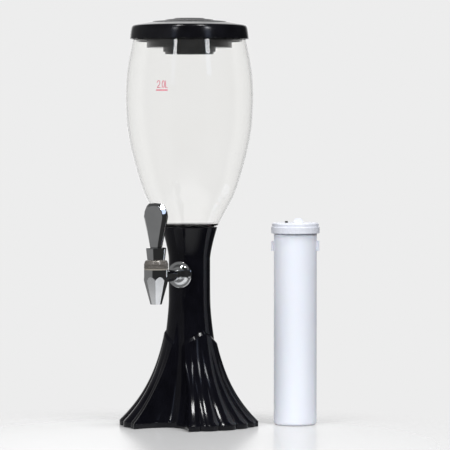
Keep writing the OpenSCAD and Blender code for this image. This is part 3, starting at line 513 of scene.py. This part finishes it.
boss_rows = []
for r, away in ((SHANK_BORE_R, SHANK_BOSS_FAR), (SHANK_BOSS_R, SHANK_BOSS_FAR),
                (SHANK_BOSS_R, SHANK_BOSS_NEAR), (SHANK_BORE_R, SHANK_BOSS_NEAR)):
    angles = [2 * math.pi * s / 64 for s in range(64)]
    boss_rows.append([(r * math.cos(a), -away, SHANK_Z + r * math.sin(a)) for a in angles])
points, faces = skin(boss_rows, wrap=True)
boss_mesh = finish_mesh("neck_boss", points, faces)
neck_boss = new_object("neck_boss", boss_mesh, "tower", CLEAR)
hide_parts("reservoir_neck")


# Volume mark on the vessel's front: red strokes that follow the wall

def stroke(path, width):
    """Quads along a path of (across, up), in millimetres."""
    left, right = [], []
    last = len(path) - 1
    for i, (u, v) in enumerate(path):
        du = path[min(last, i + 1)][0] - path[max(0, i - 1)][0]
        dv = path[min(last, i + 1)][1] - path[max(0, i - 1)][1]
        long = math.hypot(du, dv)
        left.append((u - dv / long * width / 2, v + du / long * width / 2))
        right.append((u + dv / long * width / 2, v - du / long * width / 2))
    return left, right


def fine(path, step=0.5):
    """The same path with points no further apart than about the step."""
    dense = [path[0]]
    for (u0, v0), (u1, v1) in zip(path, path[1:]):
        n = max(1, round(math.hypot(u1 - u0, v1 - v0) / step))
        dense += [(mix(u0, u1, i / n), mix(v0, v1, i / n)) for i in range(1, n + 1)]
    return dense


def bow(across, up, wide, high, angles):
    """Part of an ellipse round (across, up)."""
    turns = [math.radians(a) for a in angles]
    return [(across - wide * math.cos(a), up + high * math.sin(a)) for a in turns]


MARK_Z = 397.1
MARK_LIFT = 0.08
two = [(0.1, 5.9)] + bow(1.9, 6.4, 1.8, 1.9, range(10, 175, 15)) + [(3.5, 5.2), (2.9, 3.9), (0.2, 0.5)]
nought = bow(1.7, 4.3, 1.5, 3.9, range(0, 361, 15))
# Each stroke is a path, where it starts across the mark, and its width
STROKES = [
    (two, -6.2, 0.75), ([(0, 0.4), (3.9, 0.4)], -6.2, 0.7), ([(0, 0.45), (0.9, 0.45)], -1.5, 0.9),
    (nought, 0.1, 0.75), ([(0, 0), (0, 8.4)], 4.6, 0.75), ([(0, 0.4), (2.6, 0.4)], 4.6, 0.7),
    ([(-7.6, -2.5), (7.4, -2.5)], 0, 1.25),
]
mark_points, mark_faces = [], []
for path, start, width in STROKES:
    left, right = stroke(fine(path), width)
    first = len(mark_points)
    for u, v in left + right:
        z = MARK_Z + v
        r = outside_r(z) + MARK_LIFT
        mark_points.append(plan_point(r, math.degrees((u + start) / r), z))
    n = len(left)
    mark_faces += [(first + i, first + n + i, first + n + i + 1, first + i + 1) for i in range(n - 1)]
mark_mesh = finish_mesh("volume_mark", mark_points, mark_faces)
new_object("volume_mark", mark_mesh, "tower", MARK_RED)


# Lid: a satin skirt with a tight edge, and a shallow roof in two cones up to its disc

lid_profile = [
    (60.2, 470.6), (60.2, 452), (62.4, 452), (62.4, 465.5), (67.42, 465.5), (67.42, 455),
    (69.7, 455), (69.92, 455.2), (69.5, 459.5), (68.9, 464), (68.4, 467), (68, 468.6), (67.6, 469.5),
    (67, 470.3), (66.2, 470.9), (65.2, 471.3), (64, 471.6), (55, 473.1), (44.4, 474.9),
    (43.9, 475.0), (43.5, 475.3), (43.2, 475.75), (42.7, 475.9), (36, 476.5), (29.2, 477.1),
    (28.7, 477.25), (28.3, 477.7), (27.8, 477.95), (23, 478.5), (18.9, 478.9), (18.4, 478.7), (18.4, 477.5),
    (0.01, 477.5), (0.01, 470.6),
]
lid_mesh = lathe("lid_skin", lid_profile, steps=240, sharp_angle=40)
lid_skin = new_object("lid_skin", lid_mesh, "lid", LID_BLACK)
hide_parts("lid")


# Lever: a flat-faced paddle with bevels round its face and softened edges

LEVER_FOOT_Z = 213.4
LEVER_AWAY = 91
LEVER_EDGE = 0.5
LEVER_BENDS = 14
# Depth from the lever's middle, and how far the outline is drawn in there
LEVER_LAYERS = [(-5.75, 4.2), (-1.61, 0), (1.61, 0), (5.75, 4.2)]


def lever_outline(inset):
    """Right half of the lever's outline, from its foot to the middle of its top."""
    return [(7.1 - 0.55 * inset, 0), (11.2 - 0.75 * inset, 19), (14.8 - 0.9 * inset, 35.4 - 0.2 * inset),
            (13.9 - 0.9 * inset, 41.6 - 0.2 * inset), (11.3 - 0.9 * inset, 47.6 - 0.3 * inset),
            (8.2 - 0.8 * inset, 50.6 - 0.7 * inset), (0, 51.3 - 0.75 * inset)]


lever_rows = []
for depth, inset in LEVER_LAYERS:
    half = lever_outline(inset)
    around_edge = half + [(-x, z) for x, z in reversed(half[:-1])]
    lever_rows.append([(x, depth - LEVER_AWAY, LEVER_FOOT_Z + z) for x, z in around_edge])
points, faces = skin(lever_rows)
n = len(lever_rows[0])
faces += [tuple(range(n)), tuple(reversed(range(3 * n, 4 * n)))]
lever_mesh = finish_mesh("lever_skin", points, faces)
bm = bmesh.new()
bm.from_mesh(lever_mesh)
edges = [e for e in bm.edges if e.calc_face_angle(0) > math.radians(LEVER_BENDS)]
bmesh.ops.bevel(bm, geom=edges, offset=LEVER_EDGE * MM, segments=3, profile=0.5, affect="EDGES",
                clamp_overlap=True)
for face in bm.faces:
    face.smooth = True
for edge in bm.edges:
    edge.smooth = True
bm.to_mesh(lever_mesh)
bm.free()
lever_skin = new_object("lever_skin", lever_mesh, "lever", CHROME)
lever_skin.modifiers.new("normals", "WEIGHTED_NORMAL").weight = 90
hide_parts("lever")


# Spring: one helix under the bonnet, drawn at one length

SPRING_TURNS = 7
SPRING_WIRE_R = 0.45
SPRING_SEG = 24
SPRING_SIDES = 10
corners = [NODES["stem_spring"].matrix_world @ Vector(c) / MM for c in NODES["stem_spring"].bound_box]
low = [min(c[i] for c in corners) for i in range(3)]
high = [max(c[i] for c in corners) for i in range(3)]
spring_at = ((low[0] + high[0]) / 2, (low[1] + high[1]) / 2)
coil_r = (high[0] - low[0]) / 2 - SPRING_WIRE_R
spring_rows = []
for i in range(SPRING_TURNS * SPRING_SEG + 1):
    turn = 2 * math.pi * i / SPRING_SEG
    z = mix(low[2] + SPRING_WIRE_R, high[2] - SPRING_WIRE_R, i / (SPRING_TURNS * SPRING_SEG))
    row = []
    for s in range(SPRING_SIDES):
        a = 2 * math.pi * s / SPRING_SIDES
        r = coil_r + SPRING_WIRE_R * math.cos(a)
        x = spring_at[0] + r * math.cos(turn)
        y = spring_at[1] + r * math.sin(turn)
        row.append((x, y, z + SPRING_WIRE_R * math.sin(a)))
    spring_rows.append(row)
points, faces = skin(spring_rows)
last = len(points)
faces += [tuple(range(SPRING_SIDES)), tuple(range(last - SPRING_SIDES, last))]
spring_mesh = finish_mesh("spring_skin", points, faces, 60)
spring_skin = new_object("spring_skin", spring_mesh, "tower", STEEL)
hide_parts("stem_spring")
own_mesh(spring_skin)


# Camera: level with the middle of the reservoir, to the tap's right, far away with a narrow view

VIEW_ANGLE = 24.3
CAMERA_AWAY = 3.382
CAMERA_SIDE = 0.042
CAMERA_Z = 0.374
CAMERA_DOWN = 2.34
FOCAL_SHARE = 2866 / 450

towards = Vector((math.sin(math.radians(VIEW_ANGLE)), -math.cos(math.radians(VIEW_ANGLE)), 0))
sideways = Vector((math.cos(math.radians(VIEW_ANGLE)), math.sin(math.radians(VIEW_ANGLE)), 0))
camera_data = bpy.data.cameras.new("camera")
camera_data.sensor_width = 36
camera_data.lens = camera_data.sensor_width * FOCAL_SHARE
camera_data.clip_start = 0.1
camera_data.clip_end = 50
camera = bpy.data.objects.new("camera", camera_data)
bpy.context.scene.collection.objects.link(camera)
camera.location = towards * CAMERA_AWAY + sideways * CAMERA_SIDE + Vector((0, 0, CAMERA_Z))
camera.rotation_euler = (math.radians(90 - CAMERA_DOWN), 0, math.radians(VIEW_ANGLE))
bpy.context.scene.camera = camera


# Light: softboxes, windows and panels in front, fills, and a surround that is pale behind the object

LIGHT_AIM_Z = 0.2
LIGHT_AWAY = 2.2
FILL_AWAY = 2.6
FILL_SIZE = (1.8, 1.2)


def softbox(name, angle, elevation, away, size, power):
    """An area light at an angle round the scene from the camera, which faces the object."""
    data = bpy.data.lights.new(name, "AREA")
    data.shape = "RECTANGLE"
    data.size, data.size_y = size
    data.energy = power
    light = bpy.data.objects.new(name, data)
    bpy.context.scene.collection.objects.link(light)
    a, e = math.radians(VIEW_ANGLE + angle), math.radians(elevation)
    back = Vector((math.sin(a) * math.cos(e), -math.cos(a) * math.cos(e), math.sin(e)))
    light.location = back * away + Vector((0, 0, LIGHT_AIM_Z))
    light.rotation_mode = "QUATERNION"
    light.rotation_quaternion = back.to_track_quat("Z", "Y")
    return light


for name, angle, elevation, size, power in (
        ("softbox_right", 36, 64, (0.3, 0.42), 15), ("softbox_left", -29, 60, (0.26, 0.44), 11),
        ("window_right", 38, 31, (0.3, 0.3), 3.6), ("window_left", -27.5, 29, (0.22, 0.13), 1.3),
        ("panel_right", 37, 29, (0.34, 1.0), 1.6), ("panel_left", -29, 26, (0.28, 1.2), 0.9)):
    light = softbox(name, angle, elevation, LIGHT_AWAY, size, power)
    light.visible_transmission = False
    if "panel" in name:
        light.data.color = (0.6, 0.72, 1)
# Wide fills that light the pale parts and don't show in gloss or through the vessel
for name, angle, elevation, power in (("fill_left", -50, 30, 36), ("fill_right", 45, 35, 38)):
    fill = softbox(name, angle, elevation, FILL_AWAY, FILL_SIZE, power)
    fill.visible_glossy = False
    fill.visible_transmission = False

SHOWN_GREY = 0.847
BACK_STRENGTH = 0.9
GREY_STRENGTH = 0.17
BASE_STRENGTH = 0.03
world = bpy.data.worlds.new("surround")
bpy.context.scene.world = world
world.use_nodes = True
tree = world.node_tree
tree.nodes.clear()
direction = tree.nodes.new("ShaderNodeTexCoord").outputs["Generated"]


def along(vector):
    """How far the direction looked in goes along a vector, from -1 to 1."""
    node = tree.nodes.new("ShaderNodeVectorMath")
    node.operation = "DOT_PRODUCT"
    node.inputs[1].default_value = vector
    tree.links.new(direction, node.inputs[0])
    return node.outputs["Value"]


def combined(operation, first, second):
    node = tree.nodes.new("ShaderNodeMath")
    node.operation = operation
    for i, value in enumerate((first, second)):
        if isinstance(value, (int, float)):
            node.inputs[i].default_value = value
        else:
            tree.links.new(value, node.inputs[i])
    return node.outputs["Value"]


def faded(value, start, end, at_start, at_end):
    node = tree.nodes.new("ShaderNodeMapRange")
    node.interpolation_type = "SMOOTHSTEP"
    node.inputs["From Min"].default_value = start
    node.inputs["From Max"].default_value = end
    node.inputs["To Min"].default_value = at_start
    node.inputs["To Max"].default_value = at_end
    tree.links.new(value, node.inputs["Value"])
    return node.outputs["Result"]


# Angle round the scene from the camera's side, in degrees, positive to its right
around = combined("MULTIPLY", combined("ARCTAN2", along(sideways), along(towards)), 180 / math.pi)
height = along(Vector((0, 0, 1)))
back_right = faded(around, 150, 172, 0, BACK_STRENGTH)
back_left = faded(around, -148, -170, 0, BACK_STRENGTH)
grey_left = faded(around, -30, -38, 0, GREY_STRENGTH)
back = combined("MULTIPLY", combined("ADD", back_right, back_left), faded(height, 0.4, 0.7, 1, 0.08))
front = combined("MULTIPLY", grey_left, faded(height, 0.3, 0.6, 1, 0.3))
strength = combined("ADD", combined("ADD", back, front), BASE_STRENGTH)
# What is seen directly and through the vessel is one pale grey, dimmer through it towards the front
rays = tree.nodes.new("ShaderNodeLightPath")
seen = tree.nodes.new("ShaderNodeMath")
seen.operation = "MAXIMUM"
behind = faded(along(towards), 0.1, -0.3, 0.42, 1)
tree.links.new(rays.outputs["Is Camera Ray"], seen.inputs[0])
tree.links.new(combined("MULTIPLY", rays.outputs["Is Transmission Ray"], behind), seen.inputs[1])
shown = tree.nodes.new("ShaderNodeBackground")
shown.inputs["Color"].default_value = (SHOWN_GREY, SHOWN_GREY, SHOWN_GREY, 1)
through = combined("MULTIPLY", rays.outputs["Is Transmission Ray"], 0.06)
tree.links.new(combined("ADD", through, 1), shown.inputs["Strength"])
lit = tree.nodes.new("ShaderNodeBackground")
lit.inputs["Color"].default_value = (1, 1, 1, 1)
tree.links.new(strength, lit.inputs["Strength"])
both = tree.nodes.new("ShaderNodeMixShader")
tree.links.new(seen.outputs["Value"], both.inputs["Fac"])
tree.links.new(lit.outputs["Background"], both.inputs[1])
tree.links.new(shown.outputs["Background"], both.inputs[2])
output = tree.nodes.new("ShaderNodeOutputWorld")
tree.links.new(both.outputs["Shader"], output.inputs["Surface"])
bpy.context.scene.view_settings.view_transform = "Standard"


# Floor: a pale disc that fades out before its edge

FLOOR_Z = -0.3
FLOOR_STEPS = 96
FLOOR_MIDDLE = 0.2
FLOOR_FULL_R = 0.14
FLOOR_GONE_R = 0.42
floor_rows = []
for r in (0.001, 400, 800, 1300, 2000):
    angles = [2 * math.pi * s / FLOOR_STEPS for s in range(FLOOR_STEPS)]
    floor_rows.append([(r * math.cos(a), r * math.sin(a), FLOOR_Z) for a in angles])
points, faces = skin(floor_rows)
floor = bpy.data.objects.new("floor", finish_mesh("floor", points, faces))
bpy.context.scene.collection.objects.link(floor)
paper = bpy.data.materials.new("floor_white")
paper.use_nodes = True
tree = paper.node_tree
shader = tree.nodes["Principled BSDF"]
shader.inputs["Base Color"].default_value = (0.71, 0.71, 0.71, 1)
shader.inputs["Roughness"].default_value = 0.22
shader.inputs["Specular IOR Level"].default_value = 0.18
coords = tree.nodes.new("ShaderNodeTexCoord")
away = tree.nodes.new("ShaderNodeVectorMath")
away.operation = "DISTANCE"
tree.links.new(coords.outputs["Object"], away.inputs[0])
away.inputs[1].default_value = towards * FLOOR_MIDDLE
edge = tree.nodes.new("ShaderNodeMapRange")
edge.interpolation_type = "SMOOTHSTEP"
edge.inputs["From Min"].default_value = FLOOR_FULL_R
edge.inputs["From Max"].default_value = FLOOR_GONE_R
tree.links.new(away.outputs["Value"], edge.inputs["Value"])
clear = tree.nodes.new("ShaderNodeBsdfTransparent")
joined = tree.nodes.new("ShaderNodeMixShader")
tree.links.new(edge.outputs["Result"], joined.inputs["Fac"])
tree.links.new(shader.outputs["BSDF"], joined.inputs[1])
tree.links.new(clear.outputs["BSDF"], joined.inputs[2])
tree.links.new(joined.outputs["Shader"], tree.nodes["Material Output"].inputs["Surface"])
floor.data.materials.append(paper)
